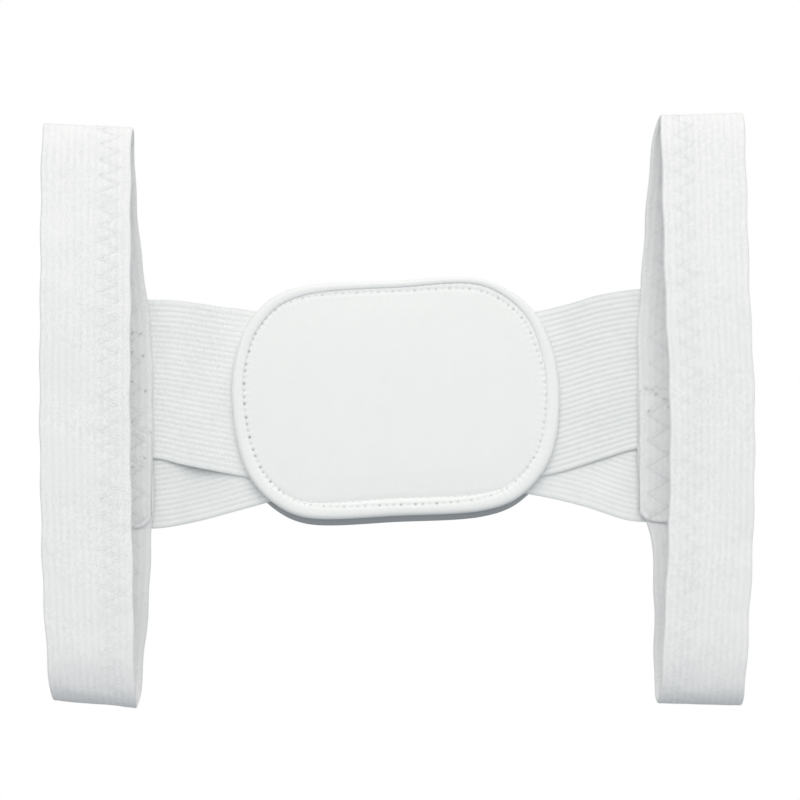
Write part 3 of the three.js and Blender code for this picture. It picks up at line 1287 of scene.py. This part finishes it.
@dataclass
class PadRear:
    """The rear panel: a shallow tray whose rim closes on the pad except where the legs come out."""

    shape: PadShape
    legs: list[ElasticLeg]
    nest: Nest = Nest(64)
    rim_front: float = 6.3
    slot_front: float = 9.5
    rear: float = 12.5
    drop: float = 3.4
    corner: float = 1.4
    lip: float = 9.0
    bulge: float = 0.5
    stitch_inset: float = 4.5
    edge_shadow: float = 0.7
    shadow_reach: tuple[float, float] = (0.7, 0.97)
    wall_rings: range = range(4, 13)
    rim_inset: float = 2.0
    opening: tuple[float, float] = (-3.0, -0.3)
    thread_gap: float = 0.12
    thread_lift: float = 0.2

    def open_share(self, turn: float) -> float:
        """How far the rim is drawn back for a leg at a share of the outline, from 0 to 1."""
        edge = self.shape.at(turn, self.rim_inset)
        share = 0.0
        for leg in self.legs:
            if leg.table.side.value * edge.x > 0:
                top, bottom = leg.edges(abs(edge.x))
                inside = min(top - edge.z, edge.z - bottom)
                share = max(share, smoothstep(inside, *self.opening))
        return share

    def path(self, turn: float) -> list[tuple[float, float, float]]:
        """The panel's section, from inside its lip round the rim to its flat rear.

        Args:
            turn: the share of the outline's length.

        Returns:
            Inset, depth and share of the drop for each ring.
        """
        front = mix(self.rim_front, self.slot_front - 0.4, self.open_share(turn))
        corner, rear = self.corner, self.rear
        return [
            (self.lip, self.slot_front, 0.3),
            (self.lip, front + 0.3, 0.2),
            (self.lip - 0.3, front, 0.1),
            (4.0, front, 0.0),
            (1.0, front, 0.05),
            (0.35, front + 0.2, 0.12),
            (0.05, front + 0.8, 0.25),
            (0.0, mix(front, rear - corner, 0.4), 0.5),
            (0.0, mix(front, rear - corner, 0.7), 0.8),
            (0.0, rear - corner, 1.0),
            (0.12, rear - corner * 0.6, 1.0),
            (0.42, rear - corner * 0.29, 1.0),
            (0.87, rear - corner * 0.08, 1.0),
            (1.4, rear, 1.0),
            (3.0, rear + 0.15, 1.0),
        ]

    def build(self, material: bpy.types.Material) -> bpy.types.Object:
        """Builds and dresses the rear panel.

        Args:
            material: its finish.

        Returns:
            The piece.
        """
        shape, steps = self.shape, self.nest.steps
        paths: dict[float, list[tuple[float, float, float]]] = {}

        def place(column: int, row: int) -> Vector:
            """The panel's surface at a place in the grid."""
            turn, ring = self.nest.read(column, row)
            path = paths.setdefault(turn, self.path(turn))
            inset, y, share = path[min(ring, len(path) - 1)]
            toward = max(0, ring - len(path) + 1) / (self.nest.rings - len(path) + 1)
            point = shape.at(turn, inset, y)
            point.z -= shape.low(point.z) * self.drop * share
            middle = Vector((shape.centre_x, point.y, shape.centre_z - self.drop / 2))
            point = point.lerp(middle, toward)
            if toward:
                point.y += self.bulge * smoothstep(toward, 0.0, 0.8)
            return point

        def hole(column: int, row: int) -> float:
            """The shade on the panel's wall there, under the pad."""
            turn, ring = self.nest.read(column, row)
            low = shape.low(shape.at(turn, 0.0).z)
            shade = self.edge_shadow * smoothstep(low, *self.shadow_reach)
            return shade if ring in self.wall_rings else 0.0

        mesh = ClothGrid(steps, steps, shape.width, shape.height).build(place, hole)
        close_rim(mesh)
        panel = dress("pad_rear_panel", mesh, material, Slot.BACKING, ["pad_back"])
        return panel

    def stitches(self) -> list[Stitch]:
        """The row of thread inside the panel's rear edge.

        Returns:
            The stitches.
        """
        shape = self.shape

        def spot(turn: float) -> tuple[Vector, Vector]:
            """The thread's place, just behind the panel."""
            point = shape.at(turn, self.stitch_inset, self.rear + self.thread_lift)
            point.z -= shape.low(point.z) * self.drop
            return point, BACKWARDS

        return sew(shape.stitches, self.thread_gap, spot)


@dataclass(frozen=True)
class LoopTable:
    """What differs between the two shoulder loops, most of it as shares of the strap's sizes.

    A dent gives its height, its place across, how high it reaches, and its depth. A prick is a
    needle hole on the back layer's inner face, as x and z, drawn only as painted shade.
    """

    side: Side
    pull: int
    height: float
    width: float
    top_slant: float
    bottom_slant: float
    bottom_width: float
    overlap: float
    overlap_cut: float
    zigzag: float
    dents: list[tuple[float, float, float, float]]
    pricks: list[tuple[float, float]]


LOOPS = [
    LoopTable(
        side=Side.LEFT, pull=2, height=0.99, width=1.03, top_slant=1.9, bottom_slant=3.8,
        bottom_width=0.95, overlap=0.89, overlap_cut=5.0, zigzag=8.0,
        dents=[(-21.0, 0.2, 7.0, 0.3), (62.0, -0.5, 8.0, 0.3), (-104.0, 0.4, 6.0, 0.35)],
        pricks=[(-128.6, 32.1), (-124.1, 31.6), (-128.4, 23.0), (-123.1, 21.1), (-128.6, 8.6),
                (-121.9, 4.3), (-127.9, -32.1), (-122.1, -27.8)],
    ),
    LoopTable(
        side=Side.RIGHT, pull=3, height=1.01, width=0.965, top_slant=1.0, bottom_slant=-1.0,
        bottom_width=1.0, overlap=1.11, overlap_cut=1.0, zigzag=9.0,
        dents=[(52.0, -0.3, 4.5, 0.4), (-67.0, 0.8, 4.5, 0.7), (-121.0, 0.2, 7.0, 0.5),
               (-128.0, 0.9, 5.0, 0.5)],
        pricks=[(117.6, 5.6), (122.4, 2.4), (126.8, 0.4), (128.6, -3.2), (119.0, -5.2)],
    ),
]

# Up a loop's back layer, over its top fold, down the front layer and round the bottom fold:
# height, depth forwards, and how far the left and right straps are drawn in.
LOOP_ROUTE = [
    (0.0, 0.5, 0.06, 0.09), (0.019, 0.15, 0.06, 0.09), (0.066, 0.0, 0.07, 0.08),
    (0.17, 0.0, 0.12, 0.08), (0.28, 0.0, 0.14, 0.12), (0.33, 0.0, 0.165, 0.22),
    (0.42, 0.0, 0.165, 0.27), (0.53, 0.0, 0.16, 0.27), (0.64, 0.0, 0.14, 0.27),
    (0.71, 0.0, 0.09, 0.235), (0.78, 0.03, 0.03, 0.205), (0.88, 0.12, -0.02, 0.165),
    (0.98, 0.28, -0.03, 0.1), (1.0, 0.42, -0.03, 0.06), (0.98, 0.56, -0.03, 0.06),
    (0.88, 0.75, -0.02, 0.06), (0.7, 0.95, 0.0, 0.05), (0.5, 1.0, 0.0, 0.0),
    (0.27, 1.0, 0.025, 0.02), (0.15, 0.98, 0.045, 0.06), (0.066, 0.92, 0.06, 0.08),
    (0.019, 0.76, 0.06, 0.09),
]


@dataclass(frozen=True)
class Station:
    """The strap at one place on its route: its middle, direction, width and slant."""

    middle: Vector
    along: Vector
    width: float
    slant: float


@dataclass
class ShoulderLoop:
    """A closed loop of brushed knit strap, folded on itself and sewn down with a zigzag."""

    table: LoopTable
    width: float = 41.0
    thickness: float = 2.2
    height: float = 274.0
    depth: float = 36.0
    bottom: float = -142.4
    inner_x: float = 125.0
    back_y: float = -1.1
    fold_reach: float = 0.25
    rows: int = 640
    flat_steps: int = 50
    edge_steps: int = 4
    seam: Zigzag = Zigzag(10.4, 4.6)
    inner_pitch: float = 12.6
    draw_in: float = 0.34
    pucker: float = 0.06
    thread_shadow: float = 0.12
    hem_in: float = 2.6
    hem_groove: float = 0.14
    inner_hem_in: float = 3.2
    wave: float = 0.12
    ripple: float = 0.05
    edge_wave: float = 0.25
    painted_prick_shade: float = 0.85
    needle_reach: float = 0.55
    thread_gap: float = 0.08
    thread_lift: float = 0.1

    def __post_init__(self) -> None:
        """Lays the loop's route and the strap's stations along it."""
        table, side = self.table, self.table.side.value
        points = []
        for row in LOOP_ROUTE:
            inner = self.inner_x - row[table.pull] * self.width
            x = side * (inner + table.width * self.width / 2)
            z = self.bottom + row[0] * table.height * self.height
            points.append(Vector((x, self.back_y - row[1] * self.depth, z)))
        self.route = ClosedCurve(points)
        length = self.route.length
        self.zigzags = {1: round(length / table.zigzag), -1: round(length / self.inner_pitch)}
        self.stations = [self.station(row / self.rows) for row in range(self.rows)]

    def station(self, share: float) -> Station:
        """The strap at a share of its route.

        Args:
            share: the share of the route's length.

        Returns:
            Its middle, direction, width and slant there.
        """
        table = self.table
        middle = self.route.point(share)
        along = self.route.tangent(share)
        along.x = 0
        along.normalize()
        rise = (middle.z - self.bottom) / (table.height * self.height)
        low = 1 - smoothstep(rise, 0, self.fold_reach)
        high = smoothstep(rise, 1 - self.fold_reach, 1)
        slant = table.bottom_slant * low + table.top_slant * high
        width = table.width * self.width * mix(1, table.bottom_width, low)
        return Station(middle, along, width, slant)

    def apart(self, share: float, inward: float, face: int) -> float:
        """How far a point of a face lies from that face's zigzag."""
        count = self.zigzags[face]
        return self.seam.apart(inward, share * count, self.route.length / count)

    def relief(self, share: float, across: float, width: float, face: int) -> float:
        """How far stitching and hem draw the strap's surface in.

        Args:
            share: the share of the route.
            across: from -1 at the left edge to 1 at the right.
            width: the strap's width there.
            face: 1 on the outer face and -1 on the inner.

        Returns:
            The depth in millimetres.
        """
        inward = (1 + self.table.side.value * across) * width / 2
        apart = self.apart(share, inward, face)
        hem = abs(width - inward - self.hem_in)
        inner_hem = abs(inward - self.inner_hem_in)
        turn = 2 * math.pi * share
        pucker = math.cos(2 * turn * self.zigzags[face] + 1.5 * math.sin(turn * 23 + across * 5))
        return (
            self.draw_in * bell(apart, 0.75)
            + self.pucker * (1 + pucker) * bell(inward - self.seam.middle, 5.0)
            + self.hem_groove * bell(hem, 0.8)
            + self.hem_groove * 0.6 * bell(inner_hem, 0.9)
        )

    def wander(self, share: float, across: float, station: Station) -> float:
        """The slow rise and fall of the soft cloth, and the dents of its front layer."""
        turn = 2 * math.pi * share
        side = self.table.side.value
        slow = math.sin(turn * 7 + across * 1.3 + side) + 0.6 * math.sin(turn * 13 - across * 2.1)
        quick = math.sin(turn * 31 + across * 3.7 * side) + math.sin(turn * 43 - across * 4.4)
        dents = 0.0
        if station.along.z < 0:
            for height, place, reach, depth in self.table.dents:
                up = station.middle.z - height - 5 * (across - place)
                dents += depth * bell(up, reach) * bell(across - place, 0.45)
        return self.wave * slow + self.ripple * quick + dents * station.along.z

    def at(self, share: float, across: float, lift: float) -> Vector:
        """A point of the strap.

        Args:
            share: the share of the route.
            across: from -1 at the left edge to 1 at the right.
            lift: how far outwards from the strap's middle surface.

        Returns:
            The point.
        """
        return self._on(self.station(share), share, across, lift)

    def _on(self, station: Station, share: float, across: float, lift: float) -> Vector:
        """The same for a station that is known."""
        out = lift + self.wander(share, across, station)
        side = self.table.side.value
        edge = self.edge_wave * math.sin(share * 120 + side * across * 2) * abs(across) ** 3
        x = station.middle.x + across * station.width / 2 + edge
        z = station.middle.z - out * station.along.y + side * across * station.slant / 2
        return Vector((x, station.middle.y + out * station.along.z, z))

    def section(self) -> list[tuple[float, float]]:
        """Goes once round the strap's section.

        Returns:
            Across, from 1 to -1 and back, and lift as a share of half the thickness.
        """
        margin = self.thickness / 2 / (self.width / 2)
        steps = self.flat_steps
        flat = [mix(1 - margin, margin - 1, k / steps) for k in range(steps + 1)]
        edge = half_round(self.edge_steps)
        points = [(across, 1.0) for across in flat]
        points += [(margin - 1 - margin * out, turned) for out, turned in edge]
        points += [(across, -1.0) for across in reversed(flat)]
        points += [(1 - margin + margin * out, -turned) for out, turned in edge]
        return points

    def build(self, material: bpy.types.Material) -> bpy.types.Object:
        """Builds and dresses the loop.

        Args:
            material: its finish.

        Returns:
            The piece.
        """
        section = self.section()
        columns, length = len(section), self.route.length
        half = self.thickness / 2

        def spot(column: int, row: int) -> tuple[float, Station, float, float]:
            """The share of the route, the station, the place across and the side of the body."""
            line = row % self.rows
            return (line / self.rows, self.stations[line], *section[column % columns])

        def place(column: int, row: int) -> Vector:
            """The strap's surface at a place in the grid."""
            share, station, across, body = spot(column, row)
            drawn = self.relief(share, across, station.width, 1 if body > 0 else -1)
            lift = body * half - math.copysign(min(drawn, half * 0.8), body)
            return self._on(station, share, across, lift)

        def hole(column: int, row: int) -> float:
            """The shade under the thread and in the needle holes there."""
            share, station, across, body = spot(column, row)
            face = 1 if body > 0 else -1
            inward = (1 + self.table.side.value * across) * station.width / 2
            apart = self.apart(share - 0.5 / length, inward, face)
            shadow = self.thread_shadow * (1.1 - 0.1 * face) * bell(apart, self.needle_reach)
            inside = body == -1 and station.along.z > 0.5
            return max(shadow, self.pricked(place(column, row)) if inside else 0.0)

        grid = ClothGrid(columns, self.rows, 2 * self.width, length)
        side = self.table.side.name.lower()
        name, node = f"knit_loop_{side}", f"shoulder_loop_{side}"
        piece = dress(name, grid.build(place, hole), material, Slot.KNIT, [node])
        return piece

    def pricked(self, point: Vector) -> float:
        """The painted shade of the needle holes on the back layer's inner face at a point."""
        return max(
            self.painted_prick_shade * bell(math.hypot(point.x - across, point.z - up), self.needle_reach)
            for across, up in self.table.pricks
        )

    def stitches(self) -> list[Stitch]:
        """The zigzag rows on both faces of the strap, three stitches to a diagonal.

        Returns:
            The stitches.
        """
        stitches = []
        sunk = self.thickness / 2 - self.draw_in + self.thread_lift
        for face, zigzags in self.zigzags.items():

            def spot(share: float) -> tuple[Vector, Vector]:
                """The thread's place on this face, and the way out there."""
                station = self.station(share)
                inward = self.seam.inset(share * zigzags)
                across = self.table.side.value * (2 * inward / station.width - 1)
                out = Vector((0, station.along.z, -station.along.y)) * face
                return self._on(station, share, across, face * sunk), out

            stitches += sew(2 * zigzags * 3, self.thread_gap, spot)
        return stitches


@dataclass
class StrapOverlap:
    """The strap's end, sewn flat on the inner face of a loop's back layer."""

    loop: ShoulderLoop
    leg: ElasticLeg
    thickness: float = 1.2
    length: float = 58.0
    margin: float = 0.5
    corner: float = 8.0
    clearance: float = 0.3
    seam: Zigzag = Zigzag(9.0, 5.0)
    pitch: float = 12.6
    thread_gap: float = 0.08
    thread_ends: float = 2.5
    thread_lift: float = 0.04
    columns: int = 56
    rows: int = 110

    def __post_init__(self) -> None:
        """Works out where the overlap lies."""
        loop, table = self.loop, self.loop.table
        pull = max(line[table.pull] for line in LOOP_ROUTE)
        self.inner = loop.inner_x - pull * loop.width + self.margin
        self.width = table.width * loop.width - 2 * self.margin
        self.bottom = self.leg.edges(self.leg.strap_edge)[1]
        self.front = loop.back_y - loop.thickness / 2 - self.clearance - self.thickness

    def edges(self, inward: float) -> tuple[float, float]:
        """The heights of its bottom and top edges at a distance from its inner edge."""
        table, near = self.loop.table, min(1.0, inward / self.corner)
        low = self.bottom + self.corner * (1 - math.sqrt(1 - (1 - near) ** 2)) * 0.9
        return low, self.bottom + table.overlap * self.length - table.overlap_cut * (1 - near)

    def at(self, inward: float, up: float) -> Vector:
        """The overlap's front surface.

        Args:
            inward: the distance from its inner edge.
            up: the height.

        Returns:
            The point.
        """
        low, high = self.edges(inward)
        apart = self.seam.apart(inward, up / self.pitch, self.pitch)
        drawn = self.loop.draw_in * bell(apart, 0.8)
        ripple = 0.14 * math.sin(up * 0.31 + inward * 0.2)
        ripple += 0.1 * math.sin(inward * 0.5 - up * 0.17)
        bar = 0.3 * bell(high - up - 3.2, 1.0) + 0.25 * bell(up - low - 3.0, 1.0)
        rim = max(0.0, min(inward, self.width - inward, up - low, high - up))
        rolled = 0.6 * (1 - smoothstep(rim, 0.0, 1.2))
        depth = self.front + drawn + ripple + bar + rolled
        return Vector((self.loop.table.side.value * (self.inner + inward), depth, up))

    def build(self, material: bpy.types.Material) -> bpy.types.Object:
        """Builds and dresses the overlap.

        Args:
            material: its finish.

        Returns:
            The piece.
        """
        loop = self.loop

        def spot(column: int, row: int) -> tuple[float, float]:
            """The place in from the inner edge and the height of a place in the grid."""
            inward = self.width * column / self.columns
            return inward, mix(*self.edges(inward), row / self.rows)

        def place(column: int, row: int) -> Vector:
            """The overlap's surface there."""
            return self.at(*spot(column, row))

        def hole(column: int, row: int) -> float:
            """The shade at the top seam, under the thread and in the needle holes there."""
            inward, up = spot(column, row)
            # How dark the painted shade along the top seam is.
            depth = 0.25 + 0.15 * math.sin(inward * 2.1)
            seam = bell(self.edges(inward)[1] - up - 0.2, 0.9) * depth
            apart = self.seam.apart(inward, (up + 0.6) / self.pitch, self.pitch)
            return min(1.0, seam + 0.25 * bell(apart, 0.6) + loop.pricked(self.at(inward, up)))

        mesh = ClothGrid(self.columns, self.rows, loop.width, self.length).build(place, hole)
        face_forwards(mesh)
        side = loop.table.side.name.lower()
        name, node = f"knit_overlap_{side}", f"strap_overlap_{side}"
        piece = dress(name, mesh, material, Slot.KNIT, [node])
        wall = piece.modifiers.new("wall", "SOLIDIFY")
        wall.thickness = (self.thickness - 0.15) * METRES
        wall.offset = -1
        return piece

    def stitches(self) -> list[Stitch]:
        """The zigzag of thread up the overlap, three stitches to a diagonal.

        Returns:
            The stitches.
        """
        bottom, top = self.edges(self.seam.middle)
        low, high = bottom + self.thread_ends, top - self.thread_ends

        def spot(share: float) -> tuple[Vector, Vector]:
            """The thread's place, just over the overlap's front."""
            up = mix(low, high, share)
            point = self.at(self.seam.inset(up / self.pitch), up)
            return point + FORWARDS * self.thread_lift, FORWARDS

        return sew(round(6 * (high - low) / self.pitch), self.thread_gap, spot)


@dataclass
class Studio:
    """A white floor and surround, and soft light from above, in front and behind."""

    distance: float = 1100.0
    frame_width: float = 384.0
    sensor: float = 36.0
    floor_gap: float = 15.0
    floor_radius: float = 3.0
    surround_radius: float = 8.0
    fill: float = 0.81

    def build(self) -> None:
        """Sets up the camera, the stage and the lights."""
        scene = bpy.context.scene
        scene.view_settings.view_transform = "Standard"
        scene.view_settings.look = "None"
        lens = bpy.data.cameras.new("camera")
        lens.sensor_width = self.sensor
        lens.lens = self.sensor * self.distance / self.frame_width
        camera = link("camera", lens)
        camera.location = (0, -self.distance * METRES, 0)
        camera.rotation_euler = (math.pi / 2, 0, 0)
        scene.camera = camera
        self._stage()
        self._lights()

    def _stage(self) -> None:
        """Makes the floor and the surround, which the camera sees as clean white."""
        white = bpy.data.materials.new("studio_white")
        white.use_nodes = True
        tree = white.node_tree
        tree.nodes.clear()
        values = {"Color": linear("#FFFFFF"), "Strength": 1.0}
        glow = add_node(tree, "ShaderNodeEmission", values).outputs["Emission"]
        add_node(tree, "ShaderNodeOutputMaterial", links={"Surface": glow})
        for name, make in (("floor", self._floor), ("surround", self._surround)):
            stage = as_object(name, make())
            stage.data.materials.append(white)
            stage.visible_diffuse = False
            stage.visible_glossy = False
            stage.visible_transmission = False
            stage.visible_shadow = False

    def _floor(self) -> bmesh.types.BMesh:
        """The floor, a little below the loops."""
        mesh = bmesh.new()
        height = CAD_BOX[0].z - self.floor_gap * METRES
        bmesh.ops.create_circle(
            mesh,
            cap_ends=True,
            segments=96,
            radius=self.floor_radius,
            matrix=Matrix.Translation((0, 0, height)),
        )
        return mesh

    def _surround(self) -> bmesh.types.BMesh:
        """A large white globe round the scene."""
        mesh = bmesh.new()
        bmesh.ops.create_uvsphere(mesh, u_segments=48, v_segments=24, radius=self.surround_radius)
        return mesh

    def _lights(self) -> None:
        """An even fill from the world, and broad soft lights above, in front and behind."""
        world = bpy.data.worlds.new("fill")
        world.use_nodes = True
        tree = world.node_tree
        view = add_node(tree, "ShaderNodeTexCoord")
        axes = add_node(tree, "ShaderNodeSeparateXYZ", links={0: view.outputs["Generated"]})
        height = add_node(
            tree,
            "ShaderNodeMapRange",
            values={"From Min": -0.9, "From Max": 0.5},
            links={"Value": axes.outputs["Z"]},
        )
        sky = add_node(
            tree,
            "ShaderNodeMix",
            data_type="RGBA",
            values={6: linear("#B6BCC2"), 7: linear("#F3F3F3")},
            links={0: height.outputs["Result"]},
        )
        background = tree.nodes["Background"]
        background.inputs["Strength"].default_value = self.fill
        tree.links.new(sky.outputs[2], background.inputs["Color"])
        bpy.context.scene.world = world
        for name, place, size, power in (
            ("ceiling", (-0.1, -0.5, 2.0), 2.0, 1.5),
            ("key", (0.05, -2.8, 1.4), 2.6, 48.0),
            ("rear", (0.9, 3.2, 1.1), 2.6, 26.0),
        ):
            light = bpy.data.lights.new(name, "AREA")
            light.shape = "DISK"
            light.size = size
            light.energy = power
            light.color = linear("#FFFEFA")[:3]
            lamp = link(name, light)
            lamp.location = place
            lamp.rotation_euler = (-Vector(place)).to_track_quat("-Z", "Y").to_euler()


@dataclass
class Corrector:
    """The whole posture corrector."""

    def build(self) -> None:
        """Builds every piece in order."""
        knit, elastic, thread = BRUSHED_KNIT.make(), WOVEN_ELASTIC.make(), SPUN_THREAD.make()
        sewing = Stitching()
        shape = PadShape()
        PadFace(shape).build(COATED_CLOTH.make())
        PadBinding(shape).build(ROLLED_TAPE.make())
        legs = [ElasticLeg(table) for table in LEGS]
        for leg in legs:
            leg.build(elastic)
        rear = PadRear(shape, legs)
        rear.build(PLAIN_WEAVE.make())
        dress("pad_seam_thread", sewing.build(shape.thread_row()), thread, Slot.TAPE)
        dress("rear_seam_thread", sewing.build(rear.stitches()), thread, Slot.BACKING)
        for table, upper, lower in zip(LOOPS, legs[0::2], legs[1::2]):
            side = table.side.name.lower()
            loop = ShoulderLoop(table)
            loop.build(knit)
            overlap = StrapOverlap(loop, lower)
            overlap.build(knit)
            rows = loop.stitches() + overlap.stitches()
            dress(f"zigzag_thread_{side}", sewing.build(rows), thread, Slot.KNIT)
            ends = upper.stitches() + lower.stitches()
            dress(f"leg_thread_{side}", sewing.build(ends), thread, Slot.ELASTIC)


def main() -> None:
    """Builds the studio and the corrector."""
    logging.basicConfig(level=logging.INFO, format="%(relativeCreated)d ms %(message)s")
    Studio().build()
    Corrector().build()


if __name__ == "__main__":
    main()
